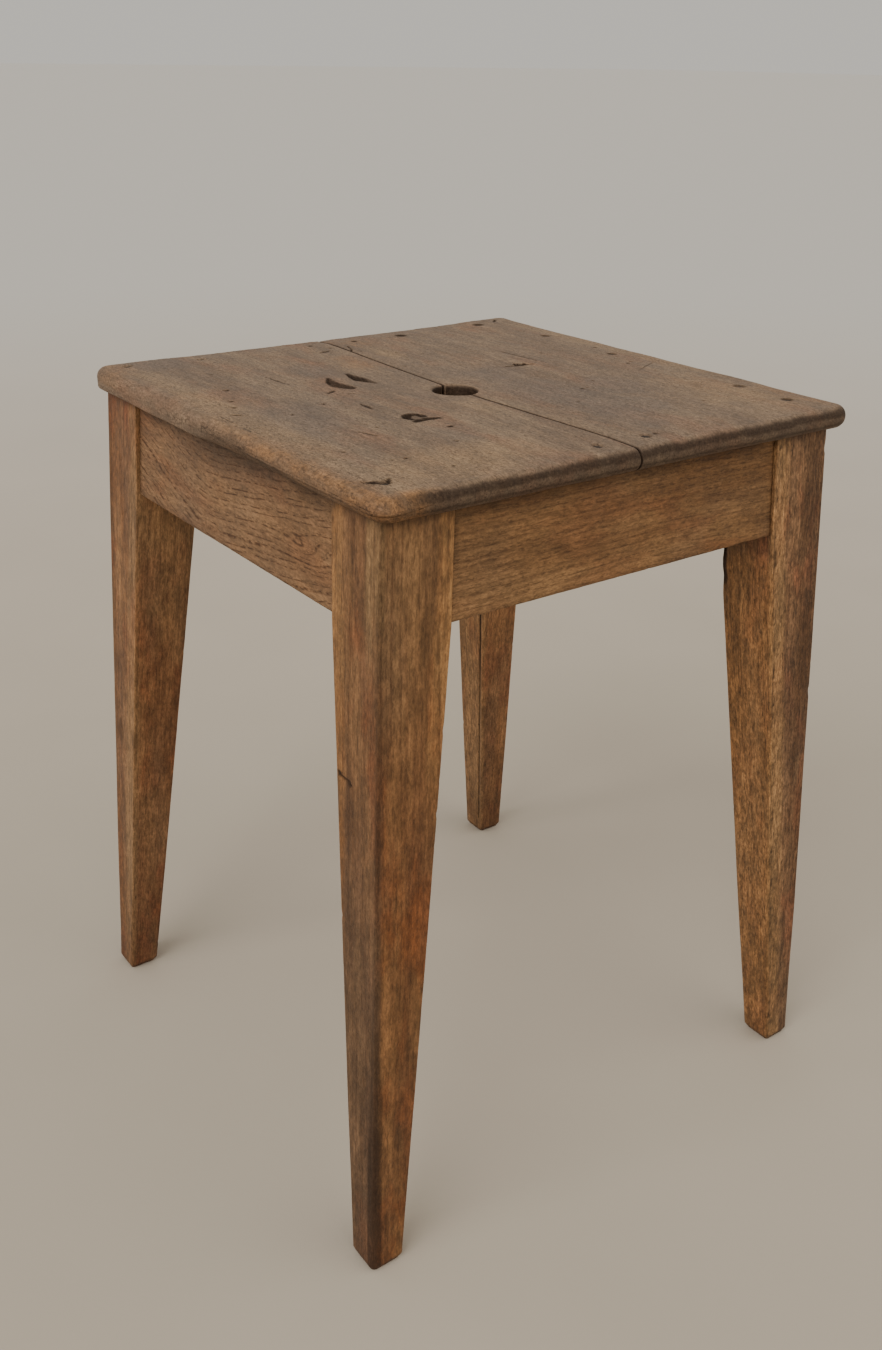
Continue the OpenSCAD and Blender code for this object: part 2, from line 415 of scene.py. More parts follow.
def back_left_marks(wear_and_painted_light, points):
    """The left leg: dark patches, darker along its outer back arris, paler by its front arris and
    on its inner face."""
    _, y, z = points.T
    left = on_left_face(points)
    ragged = 1.5 * rough_noise(points, (5, 5, 40), 35)
    lay(wear_and_painted_light, DIRT_AND_SHADE, 0.42 * rise(y + ragged, outer(z) - 9, outer(z) - 3) * left * rise(z, 200, 300))
    lay(wear_and_painted_light, LIGHT, 0.45 * rise(y + ragged, inner(z) + 13, inner(z) + 5) * left)
    lay(wear_and_painted_light, DIRT_AND_SHADE, 0.46 * left * rise(rough_noise(points, (14, 14, 40), 41), 0.25, 0.9))
    lay(wear_and_painted_light, LIGHT, 0.45 * rise(y, inner(z) + 3, inner(z) + 0.8) * rise(z, 200, 380))


def back_right_marks(wear_and_painted_light, points):
    """The leg behind: paler towards its left edge."""
    x, _, z = points.T
    left = rise(x, inner(z) + 3, inner(z) + 0.8)
    lay(wear_and_painted_light, LIGHT, 0.4 * left)


# Each leg: the signs of its corner, how far its foot strays, its marks of wear and painted light, its cracks
# as (path, half width, depth), and the eyes in its grain as (middle, radii, height).
LEGS = {
    "front_left": dict(
        signs=(-1, -1), foot=(0.0, 0.0), seed=11, marks=front_left_marks,
        cuts=[([(-outer(297), -124.5, 297.5), (-outer(296), -137.0, 295.5)], 1.3, 0.7)]),
    "front_right": dict(
        signs=(1, -1), foot=(-0.5, 2.5), seed=23, marks=front_right_marks,
        cuts=[([(127.5, -outer(273), 273.0), (141.0, -outer(277), 276.5), (158.0, -outer(278), 278.0)],
               1.2, 0.5)]),
    "back_left": dict(
        signs=(-1, 1), foot=(0.0, -3.0), seed=37, marks=back_left_marks, cuts=[],
        eyes=[((-139.5, 119.0, 304.0), (6.0, 9.0, 8.0), 5.0)]),
    "back_right": dict(
        signs=(1, 1), foot=(-0.5, 0.0), seed=53, marks=back_right_marks,
        cuts=[([(inner(h), inner(h) + 4.0, h) for h in (430, 378, 200, 15)], 1.2, 0.7)]),
}


def build_legs():
    for corner, leg in LEGS.items():
        sx, sy = leg["signs"]
        shape = worn_surface(leg["seed"], leg["cuts"])
        if corner == "front_right":
            shape = wane_shape(shape)
        piece = bar(f"worn_leg_{corner}", leg_rings(sx, sy, leg["foot"]), shape,
                    leg_wear_and_painted_light(sx, sy, leg), [f"leg_{corner}"])
        piece.data.materials.append(leg_wood(f"leg_wood_{corner}", corner))


TIGHT = (0.5, 0.5, 0.5, 0.5)
SHOULDER_GAPS = {"back": TIGHT, "left": (0.5, 0.5, 0.7, 1.8), "front": (0.8, 0.6, 0.5, 0.5), "right": TIGHT}
# Corners of an apron's section: height, depth behind its outer face, and 0 for low or 1 for high.
APRON_SECTION = ((APRON_UNDER, 0, 0), (APRON_UNDER, APRON_T, 0), (SEAT_UNDER, APRON_T, 1), (SEAT_UNDER, 0, 1))
APRON_STEPS = 170


def apron_rings(turn, gaps):
    """Rings of an apron along its length. turn counts quarter turns from the back of the stool, and
    gaps are the open shoulders at its two ends: first end low and high, last end low and high."""
    rings = []
    for i in range(APRON_STEPS + 1):
        share = 2 * i / APRON_STEPS - 1
        corners = []
        for z, depth, level in APRON_SECTION:
            half = outer(z) - LEG_W
            gap = gaps[level] * (1 - share) / 2 - gaps[2 + level] * (1 + share) / 2
            corners.append([share * half + gap, outer(z) - APRON_SETBACK - depth, z])
        corners = np.array(corners)
        for _ in range(turn):
            corners = np.column_stack([-corners[:, 1], corners[:, 0], corners[:, 2]])
        rings.append(ring(corners, [1.2, 1.1, 0.6, 0.6]))
    return rings[::-1]


def apron_wear_and_shade(seed, marks):
    """Wear function for an apron: painted shade under the seat and beside the legs, and its own marks."""
    def wear_and_painted_light_of(points):
        wear_and_painted_light = blank_wear(points)
        z = points[:, 2]
        along = np.minimum(np.abs(points[:, 0]), np.abs(points[:, 1]))
        speckle = rise(rough_noise(points, 16.0, seed), -0.8, 0.7)
        # Painted shade: a speckled dark band just under the seat and a dark strip beside each leg stand for
        # the shade there.
        lay(wear_and_painted_light, DIRT_AND_SHADE, 0.6 * rise(z, SEAT_UNDER - 12, SEAT_UNDER - 3) * (0.5 + 0.5 * speckle))
        lay(wear_and_painted_light, DIRT_AND_SHADE, 0.40 * rise(along, outer(z) - LEG_W - 6, outer(z) - LEG_W - 1) * speckle)
        lay(wear_and_painted_light, DIRT_AND_SHADE, 0.30 * rise(z, APRON_UNDER + 3, APRON_UNDER))
        wear_and_painted_light[:, GREY] = 0.6 * rise(rough_noise(points, 45.0, seed + 4), -0.5, 0.8)
        marks(wear_and_painted_light, points)
        return wear_and_painted_light
    return wear_and_painted_light_of


def no_marks(wear_and_painted_light, points):
    """For the aprons behind."""


def left_apron_marks(wear_and_painted_light, points):
    """A grey painted shadow of the seat's edge across the apron's top, darker and speckled towards the front,
    and a paler lower half.
    """
    _, y, z = points.T
    # Painted shadow: the seat's overhanging edge shades the apron's top, so a grey, darker band is laid
    # there, strongest towards the front.
    seat_shadow = rise(z, 417 - 0.05 * y, 431 - 0.05 * y) * rise(y, -85, -45) * rise(y, 60, 30)
    lay(wear_and_painted_light, GREY, seat_shadow)
    lay(wear_and_painted_light, DIRT_AND_SHADE, 0.45 * seat_shadow)
    seat_shadow_front = rise(z, 420, 431) * rise(y, 40, 5) * rise(rough_noise(points, 12.0, 87), -0.9, 0.4)
    lay(wear_and_painted_light, DIRT_AND_SHADE, 0.58 * seat_shadow_front)
    lay(wear_and_painted_light, LIGHT, 0.35 * rise(y, 60, -60) * rise(z, 425, 410))


def front_apron_marks(wear_and_painted_light, points):
    """A dark smudge in the left half, which is paler, most of all along its lower edge."""
    x, _, z = points.T
    near = np.hypot((x + 45) / 7, (z - 401) / 5)
    lay(wear_and_painted_light, DIRT_AND_SHADE, 0.35 * rise(near + 0.4 * rough_noise(points, 6.0, 31), 1.3, 0.2))
    lay(wear_and_painted_light, LIGHT, rise(x, 60, -60) * (0.45 + 0.25 * rise(z + 0.06 * x, 392, 382)))
    lay(wear_and_painted_light, DIRT_AND_SHADE, 0.13 * rise(x, 20, 90))


def build_aprons():
    marks = {"left": left_apron_marks, "front": front_apron_marks}
    for turn, side in enumerate(("back", "left", "front", "right")):
        seed = 61 + 6 * turn
        wear_and_painted_light_of = apron_wear_and_shade(seed, marks.get(side, no_marks))
        piece = bar(f"worn_apron_{side}", apron_rings(turn, SHOULDER_GAPS[side]),
                    worn_surface(seed, [], 0.12), wear_and_painted_light_of, [f"apron_{side}"])
        piece.data.materials.append(apron_wood(f"apron_wood_{side}", side, seed))


# ---- seat boards ----

# Spacing of the boards' points, and about how wide the rows that follow their outer edge reach.
GRID = 0.85
BAND = 10.0
# Distances from the seam of the rows of points beside it.
SEAM_INSETS = (0.0, 0.12, 0.42, 0.95)
# How far from the seam the finger hole's arc starts, which blunts the corner between them.
FILLET = 1.4
# Small pits: x, y, radius, depth.
PITS = [(-121, 55, 2.0, 1.3), (-131, 30, 2.0, 0.4), (-136, 17, 1.6, 0.8), (-117, -13, 1.3, 0.6),
        (-90.5, -1.6, 1.5, 0.9), (-112.5, -114, 1.3, 1.0), (-74, -102.6, 1.2, 0.8), (-59.5, -77.6, 2.1, 1.0),
        (-93, -59, 1.2, 0.4), (-132, -89, 1.2, 0.6), (-120, -113, 1.0, 0.5), (-101, -137, 1.2, 0.4),
        (57, -50, 1.7, 0.7), (62, -49, 1.0, 0.5), (33, -73, 1.1, 0.4), (22, -146, 1.6, 0.5),
        (127, -14, 1.4, 0.7), (132, -11, 1.3, 0.6), (143, 35, 1.6, 0.5), (-16.5, 137.5, 2.2, 0.6),
        (16.5, 135.5, 2.6, 0.6), (-9, 125, 1.5, 0.5), (3, 106, 1.0, 0.4), (3, 55, 1.3, 0.4),
        (65.5, 22, 3.0, 2.6), (69.5, 20.3, 2.7, 2.2), (76, -38, 1.3, 0.3), (-3, -138, 1.2, 0.5),
        (100, 40, 1.1, 0.4), (20, 90, 1.0, 0.3), (-110, 95, 1.1, 0.4), (95, -110, 1.1, 0.4)]
# Cracks: start, end, half width, depth.
CRACKS = [((-149, -132), (-141, -142), 2.0, 1.4), ((-142, -142), (-137.5, -136.5), 1.4, 0.9),
          ((-144, 5), (-140, 0), 1.2, 1.0), ((-73, -12), (-73.5, -25), 1.5, 0.6),
          ((54, 20.5), (76, 17.5), 1.5, 1.0), ((118, -33), (145, -19), 0.6, 0.2),
          ((-23, 114.5), (-14, 117), 1.5, 0.6), ((-66, 14), (-60, 8), 0.8, 0.4),
          ((-76, 18), (-69, 22), 1.5, 0.5), ((4.2, 124.5), (2.2, 117), 0.9, 0.8),
          ((2.2, 117), (-1.3, 110), 0.8, 0.8), ((140.5, 141.5), (147, 149), 1.4, 0.6),
          ((-86, 72), (-84, 48), 0.8, 0.3), ((80, 60), (84, 20), 0.8, 0.3),
          ((-106, -62), (-102, -74), 0.8, 0.4)]
# How far below the top the wear of the top face reaches.
TOPSIDE_DEPTH = 8
# Soft stains on the seat's top: x, y, radius across, radius along, strength.
GREY_STAINS = [(-125, 140, 26, 20, 0.8), (-55, 75, 17, 22, 0.8), (-110, -28, 24, 40, 0.7),
               (-65, -90, 18, 22, 0.7), (40, -62, 26, 75, 0.8), (75, -55, 18, 22, 0.9),
               (60, -95, 18, 20, 0.9), (40, 10, 22, 24, 0.8)]
GOLD_STAINS = [(-92, -128, 58, 32, 0.9), (-143, -20, 12, 150, 0.6), (122, -110, 36, 56, 0.6),
               (15, 95, 9, 22, 0.6), (152, 0, 9, 150, 0.6), (-20, -50, 13, 24, 0.5)]
RED_STAINS = [(-20, 80, 12, 24, 0.5), (14, 125, 10, 16, 0.45), (154, -132, 12, 34, 0.55),
              (-152, 140, 12, 24, 0.4)]


def edge_distance(xy):
    """Distance inwards from the seat's rounded square outline."""
    past = np.abs(xy - SEAT_MIDDLE) - (SEAT_HALF - SEAT_CORNER_R)
    corner = np.linalg.norm(np.maximum(past, 0), axis=1)
    return SEAT_CORNER_R - np.where((past > 0).all(axis=1), corner, past.max(axis=1))


def flattened(xy):
    """The plan points at height 0."""
    return np.column_stack([xy, np.zeros(len(xy))])


def roundover(distance, radius):
    """How far a rounded edge has dropped at a distance inwards from it."""
    reach = np.clip(radius - distance, 0, radius)
    return radius - np.sqrt(np.maximum(radius**2 - reach**2, 0))


def left_rub(xy):
    """How much the left edge of the seat is worn by hands, from 0 to 1 along its length."""
    return rise(-xy[:, 0], 118, 157) * rise(xy[:, 1], 40, -60)


def tapered(xy, spine):
    """(distance inside the edge, share along) of a shape that is thick or thin along its spine.
    The spine is a list of (x, y, half width)."""
    inside = np.full(len(xy), -99.0)
    along = np.zeros(len(xy))
    for k, (a, b) in enumerate(zip(spine[:-1], spine[1:])):
        share, distance = along_segment(xy, a[:2], b[:2])
        here = a[2] + (b[2] - a[2]) * share - distance
        along = np.where(here > inside, (k + share) / (len(spine) - 1), along)
        inside = np.maximum(inside, here)
    return inside, along


def gouges(xy):
    """(depth, darkening) of the two torn wedges beside the hole. The left one is blunt towards the front and
    paler inside, with painted shade on its walls and a stain on its right side; the right one is black and
    ends in a brown tip."""
    left, _ = tapered(xy, [(-55.5, 51, 0.5), (-59.5, 41, 2.8), (-60, 31, 4.6), (-57, 24.5, 3.2)])
    right, along = tapered(xy, [(-39.5, 55, 0.6), (-40.5, 46, 2.6), (-40.5, 38.5, 3.8), (-37.5, 27, 0.7)])
    depth = np.maximum(2.4 * rise(left, -0.5, 1.3), 2.9 * rise(right, -0.5, 1.3))
    # Painted shade: the left gouge is darkest along its walls to stand for the shade there; its darker right
    # side is a stain.
    edge = rise(np.abs(left - 0.4), 1.7, 0.5)
    stained_side = rise(xy[:, 0] + 57.5 + 0.12 * (xy[:, 1] - 36), -1.0, 1.6)
    stripes = rise(rough_noise(flattened(xy), (1.8, 14, 1), 43), -0.3, 0.6)
    striped = np.clip(0.30 + 0.60 * np.maximum(edge, stained_side) + 0.35 * stripes, 0, 1)
    left_dirt_and_shade = rise(left, -1.2, -0.1) * striped
    right_dirt = rise(right, -1.2, -0.1) * (1 - 0.35 * rise(along, 0.70, 0.85))
    return depth, np.maximum(left_dirt_and_shade, right_dirt)


def knot(xy):
    """(depth, dirt) of the dead knot: a dark crescent round its plug, and a torn bar in front of it."""
    crescent, _ = tapered(xy, [(-68.5, -56, 0.8), (-69, -51.5, 1.9), (-66.5, -47.5, 2.1), (-63, -46, 1.7),
                               (-60, -48, 1.4), (-59, -53, 1.1)])
    front, _ = tapered(xy, [(-69.5, -60.5, 1.1), (-65.5, -59, 2.0), (-61, -58.3, 2.1), (-54, -60.3, 0.8)])
    plug = rise(np.hypot(xy[:, 0] + 63.7, xy[:, 1] + 52.5), 5.0, 2.6)
    torn = np.maximum(crescent, front)
    return 2.2 * rise(torn, -0.4, 0.9) + 0.3 * plug, np.maximum(rise(torn, -1.3, -0.3), 0.45 * plug)


def pits(xy):
    """Depth of the small round pits and of the cracks."""
    depth = np.zeros(len(xy))
    for x, y, radius, deep in PITS:
        distance = np.hypot(xy[:, 0] - x, xy[:, 1] - y)
        depth = np.maximum(depth, deep * rise(distance, radius, radius * 0.35))
    for start, end, width, deep in CRACKS:
        share, distance = along_segment(xy, start, end)
        swell = width * (0.35 + 0.65 * np.sin(np.pi * share))
        depth = np.maximum(depth, deep * rise(distance, swell, swell * 0.3))
    return depth


def nail_dents(xy):
    """(depth, dirt) of the dents that the nail heads sit in."""
    depth, dirt_and_shade = np.zeros(len(xy)), np.zeros(len(xy))
    for x, y, radius, strength in NAILS:
        distance = np.hypot(xy[:, 0] - x, xy[:, 1] - y)
        depth = np.maximum(depth, 1.1 * rise(distance, 3.4, 2.3))
        dirt_and_shade = np.maximum(dirt_and_shade, strength * rise(distance, radius + 0.8, radius * 0.55))
    return depth, dirt_and_shade


def stained(xy, stains):
    """How strongly soft oval stains with uneven edges mark the points."""
    ragged = rough_noise(flattened(xy), (16, 26, 1), 83)
    total = np.zeros(len(xy))
    for x, y, across, lengthways, strength in stains:
        distance = np.hypot((xy[:, 0] - x) / across, (xy[:, 1] - y) / lengthways) + 0.22 * ragged
        total = np.maximum(total, strength * rise(distance, 1.3, 0.3))
    return total


def seat_top_height(xy):
    """Height of the seat's worn top face."""
    flat = flattened(xy)
    distance = edge_distance(xy)
    rub = left_rub(xy)
    radius = SEAT_EDGE_R - 0.4 + 1.3 * rub
    drop = roundover(distance, radius)
    drop = drop + (0.75 + 1.1 * rub) * rise(distance, 26, 3)
    drop = drop + 0.35 * rise(np.hypot(*(xy - SEAT_MIDDLE).T), 140, 30)
    drop = drop + 0.14 * (1 + rough_noise(flat, (42, 95, 1), 3)) + 0.05 * rough_noise(flat, (5, 16, 1), 5)
    grain = np.abs(rough_noise(flat, (2.4, 26, 1), 7))
    drop = drop + 0.07 * grain
    drop = drop + 0.3 * rise(np.abs(seam_offset(xy)), 7, 0.5)
    cupped = rise(xy[:, 1], SEAT_BACK - 22, SEAT_BACK - 5)
    drop = drop + cupped * (0.9 * rise(np.abs(xy[:, 0]), 135, 75) - 0.45)
    drop = drop + gouges(xy)[0] + knot(xy)[0] + pits(xy) + nail_dents(xy)[0]
    return SEAT_TOP - drop


def seat_under_height(xy):
    """Height of the seat's underside. Its lower arris is squarer along the back part of the left edge."""
    tucked = np.where(xy[:, 0] < SEAT_LEFT + 10, rise(xy[:, 1], 26, -6), 1.0)
    return SEAT_UNDER + roundover(edge_distance(xy), 2.0 + (SEAT_EDGE_R - 2.0) * tucked)


def seam_bend(y):
    """How far the seam lies to the right of where it crosses the hole, at y."""
    bends = (SEAM_FRONT_X - SEAM_HOLE_X, 0, SEAM_BACK_X - SEAM_HOLE_X)
    return np.interp(y, (SEAT_FRONT, HOLE[1], SEAT_BACK), bends)


def seam_offset(xy):
    """Distance to the right of the seam's middle line."""
    return xy[:, 0] - SEAM_HOLE_X - seam_bend(xy[:, 1])


def spaced(start, end, step=GRID):
    """Evenly spaced values from start to end, both included."""
    return np.linspace(start, end, max(2, int(round(abs(end - start) / step)) + 1))


def seam_path(y0, y1, inset, hole_x):
    """The seam edge from y0 to y1 of a board that lies at -X of a seam at x = 0. It bows in around
    the finger hole, whose middle is at hole_x, and inset is the distance kept from the edge."""
    arc_r = HOLE_R + inset * 2.2
    turn0 = math.asin((FILLET + inset + hole_x) / arc_r)
    turn1 = math.pi - turn0
    turns = np.linspace(turn0, turn1, 48)
    arc = [(hole_x - arc_r * math.sin(t), HOLE[1] - arc_r * math.cos(t)) for t in turns]
    first = [(-inset, y) for y in spaced(y0, HOLE[1] - arc_r - 1.0)]
    last = [(-inset, y) for y in spaced(HOLE[1] + arc_r + 1.0, y1)]
    return np.array(first + arc + last)


def front_columns(width):
    """x of the points along a board's front edge, from its seam at x = 0 to its rounded corner."""
    return [-d for d in SEAM_INSETS[:-1]] + list(spaced(-SEAM_INSETS[-1], -width + SEAT_CORNER_R))


def edge_path(width, inset):
    """The board's outer edge from the seam along the front, side and back to the seam again.
    The board is width wide, at -X of its seam. inset is the distance kept from the edge."""
    r = SEAT_CORNER_R
    front = [(x, -SEAT_HALF + inset) for x in front_columns(width)]
    turn = np.linspace(0, math.pi / 2, 13)[1:-1]
    bent = r - inset
    front_arc = [(-width + r - bent * math.sin(t), -SEAT_HALF + r - bent * math.cos(t)) for t in turn]
    side = [(-width + inset, y) for y in spaced(-SEAT_HALF + r, SEAT_HALF - r)]
    mirrored = [(x, -y) for x, y in (front + front_arc)[::-1]]
    return np.array(front + front_arc + side + mirrored) + np.array([0, SEAT_MIDDLE[1]])


def patch(side_a, side_b, side_c, side_d):
    """Grid of points between four edges: a runs opposite b, and c opposite d, and c joins a to b."""
    rows, columns = len(side_a), len(side_c)
    v = np.linspace(0, 1, rows)[:, None, None]
    u = np.linspace(0, 1, columns)[None, :, None]
    ruled = (1 - u) * side_a[:, None] + u * side_b[:, None] + (1 - v) * side_c[None] + v * side_d[None]
    corners = ((1 - u) * (1 - v) * side_a[0] + u * (1 - v) * side_b[0]
               + (1 - u) * v * side_a[-1] + u * v * side_b[-1])
    return ruled - corners


def resample(path, count):
    """The path with count points, evenly spaced along its length."""
    lengths = np.concatenate([[0], np.cumsum(np.linalg.norm(np.diff(path, axis=0), axis=1))])
    at = np.linspace(0, lengths[-1], count)
    return np.column_stack([np.interp(at, lengths, path[:, k]) for k in range(2)])


def board_plan(width, hole_x):
    """(points, quads) of the plan of a board that lies at -X of a straight seam at x = 0."""
    insets = BAND * 0.97 * (1 - np.cos(np.linspace(0, math.pi / 2, 15)))
    band = np.array([edge_path(width, d) for d in insets])
    inner = band[-1]
    corner = len(front_columns(width)) + 5
    seam_columns = len(SEAM_INSETS) - 1
    front = inner[seam_columns:corner + 1][::-1]
    side = inner[corner:len(inner) - corner]
    back = inner[len(inner) - 1 - corner:len(inner) - seam_columns]
    ends = inner[0][1], inner[-1][1]
    seams = [resample(seam_path(*ends, d, hole_x), len(side)) for d in SEAM_INSETS]
    grids = [(band, False), (patch(side, seams[-1], front, back), True), (np.array(seams), True)]
    points, quads, start = [], [], 0
    for grid, flip in grids:
        faces = strip_faces(*grid.shape[:2]) + start
        quads.append(faces[:, ::-1] if flip else faces)
        points.append(grid.reshape(-1, 2))
        start += grid.shape[0] * grid.shape[1]
    points, quads = np.concatenate(points), np.concatenate(quads)
    _, keep, merged = np.unique(np.round(points, 4), axis=0, return_index=True, return_inverse=True)
    return points[keep], merged.ravel()[quads]


def boundary_of(quads):
    """Directed edges that belong to one quad only."""
    edges = np.concatenate([quads[:, [k, (k + 1) % 4]] for k in range(4)])
    size = edges.max() + 1
    forward = edges[:, 0] * size + edges[:, 1]
    backward = edges[:, 1] * size + edges[:, 0]
    return edges[~np.isin(forward, backward)]


WALL_STEPS = 4


def board_solid(xy, quads, top, under, seam_drop):
    """Closed solid between two height functions over a plan, with walls round its boundary."""
    count = len(xy)
    edges = boundary_of(quads)
    rim = np.unique(edges)
    place = {int(v): i for i, v in enumerate(rim)}
    upper = np.column_stack([xy, top - seam_drop])
    lower = np.column_stack([xy, under + 0.6 * seam_drop])
    layers = [upper[rim] + (lower[rim] - upper[rim]) * k / WALL_STEPS for k in range(1, WALL_STEPS)]
    points = np.concatenate([upper, lower, *layers])

    def wall_index(vertex, step):
        if step == 0:
            return vertex
        if step == WALL_STEPS:
            return vertex + count
        return 2 * count + (step - 1) * len(rim) + place[vertex]

    walls = []
    for a, b in edges.tolist():
        for k in range(WALL_STEPS):
            walls.append([wall_index(v, k + down) for v, down in ((b, 0), (a, 0), (a, 1), (b, 1))])
    faces = np.concatenate([quads, quads[:, ::-1] + count, np.array(walls)])
    return points, faces


def darken_edges(wear_and_painted_light, points, ragged):
    """Dark bands in the front edge's end grain, grime on the lower part of the back and right edges, painted
    shade on the lower half of the left edge, and dark ticks on it.
    """
    x, y, z = points.T
    below = SEAT_TOP - z + 0.5 * ragged
    front = rise(-y, -SEAT_FRONT - 7, -SEAT_FRONT - 4.5) * rise(x, SEAT_LEFT + 4, SEAT_LEFT + 30)
    bands = 0.50 + 0.38 * rise(below, 6.8, 5.2) + 0.26 * rise(np.abs(below - 10.2), 1.3, 0.4)
    lay(wear_and_painted_light, DIRT_AND_SHADE, front * rise(below, 1.0, 3.3) * bands)
    back = rise(y, SEAT_BACK - 7, SEAT_BACK - 4.5)
    lay(wear_and_painted_light, DIRT_AND_SHADE, 0.7 * back * rise(below, 1.8, 4.5))
    lay(wear_and_painted_light, DIRT_AND_SHADE, 0.40 * rise(x, SEAT_RIGHT - 7, SEAT_RIGHT - 4) * rise(below, 1.5, 5.0))
    # Painted shade: forward of about y = 20 the lower half of the left edge, where it rounds under, is
    # darkened to stand for the shadow there, and a fainter band of it starts a little further back.
    on_left = rise(-x, -SEAT_LEFT - 11, -SEAT_LEFT - 4)
    shade_top = np.interp(y, (-140, -95, -45, -12, 8), (438.5, 440.0, 443.0, 445.5, 446.5)) + 0.8 * ragged
    dark = (0.66 - 0.22 * rise(y, -45, -5)) * on_left * rise(z, shade_top + 2.4, shade_top - 2.4)
    lay(wear_and_painted_light, DIRT_AND_SHADE, dark * rise(y, 22, 0))
    lay(wear_and_painted_light, DIRT_AND_SHADE, 0.30 * on_left * rise(z, 446, 441) * rise(y, 45, 12))
    for k in range(5):
        tick = [(SEAT_LEFT + 4, 66.0 - 9 * k, 448.5), (SEAT_LEFT, 60.0 - 9 * k, 442.0)]
        stroke(wear_and_painted_light, DIRT_AND_SHADE, points + 0.4 * ragged[:, None], tick, 1.3, 0.40)
    stroke(wear_and_painted_light, DIRT_AND_SHADE, points, [(SEAT_LEFT, 9.0, 448.0), (SEAT_LEFT, 9.5, 442.0)], 1.2, 0.7)


def rub_left_edge(wear_and_painted_light, points, ragged):
    """The left edge and the near corner rubbed warm, with specks and blotches of grime left on them."""
    x, y, _ = points.T
    xy = points[:, :2]
    distance = edge_distance(xy)
    specks = rise(rough_noise(points, (3.2, 3.2, 2.4), 13), 0.25, 0.9)
    reach = rise(distance, 15 + 4 * ragged, 1)
    rubbed = reach * np.clip(left_rub(xy) * 0.95 + 0.5 * rise(-x, 135, 158) * rise(y, -90, -130), 0, 1)
    rubbed = rubbed * (1 - wear_and_painted_light[:, DIRT_AND_SHADE])
    near_corner = rise(np.hypot(x - SEAT_LEFT, y - SEAT_FRONT), 42, 12) * rise(distance, 12, 4)
    blotches = rise(rough_noise(points, (7, 7, 4), 57), -0.1, 0.8)
    lay(wear_and_painted_light, DIRT_AND_SHADE, np.maximum(0.45 * specks * rubbed, 0.42 * blotches * near_corner))
    wear_and_painted_light[:, WARM] = np.clip(rubbed + 0.9 * near_corner, 0, 1)


def fill_hollows(wear_and_painted_light, xy, topside):
    """Grime in the pits, the gouges, the knot, the nail dents and the seam, with painted shade on the left
    gouge's walls and on the finger hole's walls and rim.
    """
    hollow = np.maximum(np.clip(pits(xy) / 0.22, 0, 1), gouges(xy)[1])
    hollow = np.maximum(hollow, np.maximum(knot(xy)[1], nail_dents(xy)[1]))
    lay(wear_and_painted_light, DIRT_AND_SHADE, hollow * topside)
    seam = rise(np.abs(seam_offset(xy)), 1.1, 0.5)
    # Painted shade: the finger hole's walls and rim are darkened to stand for the shade inside it; the seam's
    # dark line is the joint's own.
    hole = rise(np.hypot(*(xy - HOLE).T), HOLE_R + 1.0, HOLE_R + 0.1)
    lay(wear_and_painted_light, DIRT_AND_SHADE, np.maximum(seam, hole))


def stain_top(wear_and_painted_light, points, ragged, topside):
    """Grey, golden and reddish stains, a paler arris on the left and a smear by the near corner."""
    x, y, _ = points.T
    xy = points[:, :2]
    cloud = rough_noise(flattened(xy), (55, 90, 1), 29)
    fine = rough_noise(flattened(xy), (17, 22, 1), 47)
    wear_and_painted_light[:, GREY] = np.clip(0.18 + 0.40 * cloud + 0.16 * fine + stained(xy, GREY_STAINS), 0, 1)
    golden = np.clip(stained(xy, GOLD_STAINS) + 0.20 * cloud, 0, 1) * topside
    wear_and_painted_light[:, LIGHT] = golden * np.clip(1 - 0.5 * wear_and_painted_light[:, GREY], 0, 1)
    lay(wear_and_painted_light, WARM, stained(xy, RED_STAINS) * topside)
    arris = rise(np.abs(edge_distance(xy) - 7), 7, 2) * rise(-x, 120, 140)
    arris = arris * rise(y, 60, 10) * rise(y, -120, -80)
    lay(wear_and_painted_light, LIGHT, 0.55 * arris)
    smear = rise(np.hypot((x + 146 + 0.7 * (y + 137)) / 8, (y + 137) / 9), 1.2, 0.3)
    lay(wear_and_painted_light, DIRT_AND_SHADE, 0.30 * smear * rise(ragged, -0.9, 0.9))


def seat_wear_and_shade(points):
    """Wear on the seat: dark end grain, rubbed left edge and corner, grime in the pits, cracks, gouges, knot,
    nail dents and seam, and painted shade on the lower half of the left edge, on the left gouge's walls and
    round the finger hole.
    """
    wear_and_painted_light = blank_wear(points)
    ragged = rough_noise(points, (9, 9, 4), 91)
    topside = points[:, 2] > SEAT_TOP - TOPSIDE_DEPTH
    darken_edges(wear_and_painted_light, points, ragged)
    rub_left_edge(wear_and_painted_light, points, ragged)
    fill_hollows(wear_and_painted_light, points[:, :2], topside)
    stain_top(wear_and_painted_light, points, ragged, topside)
    return wear_and_painted_light


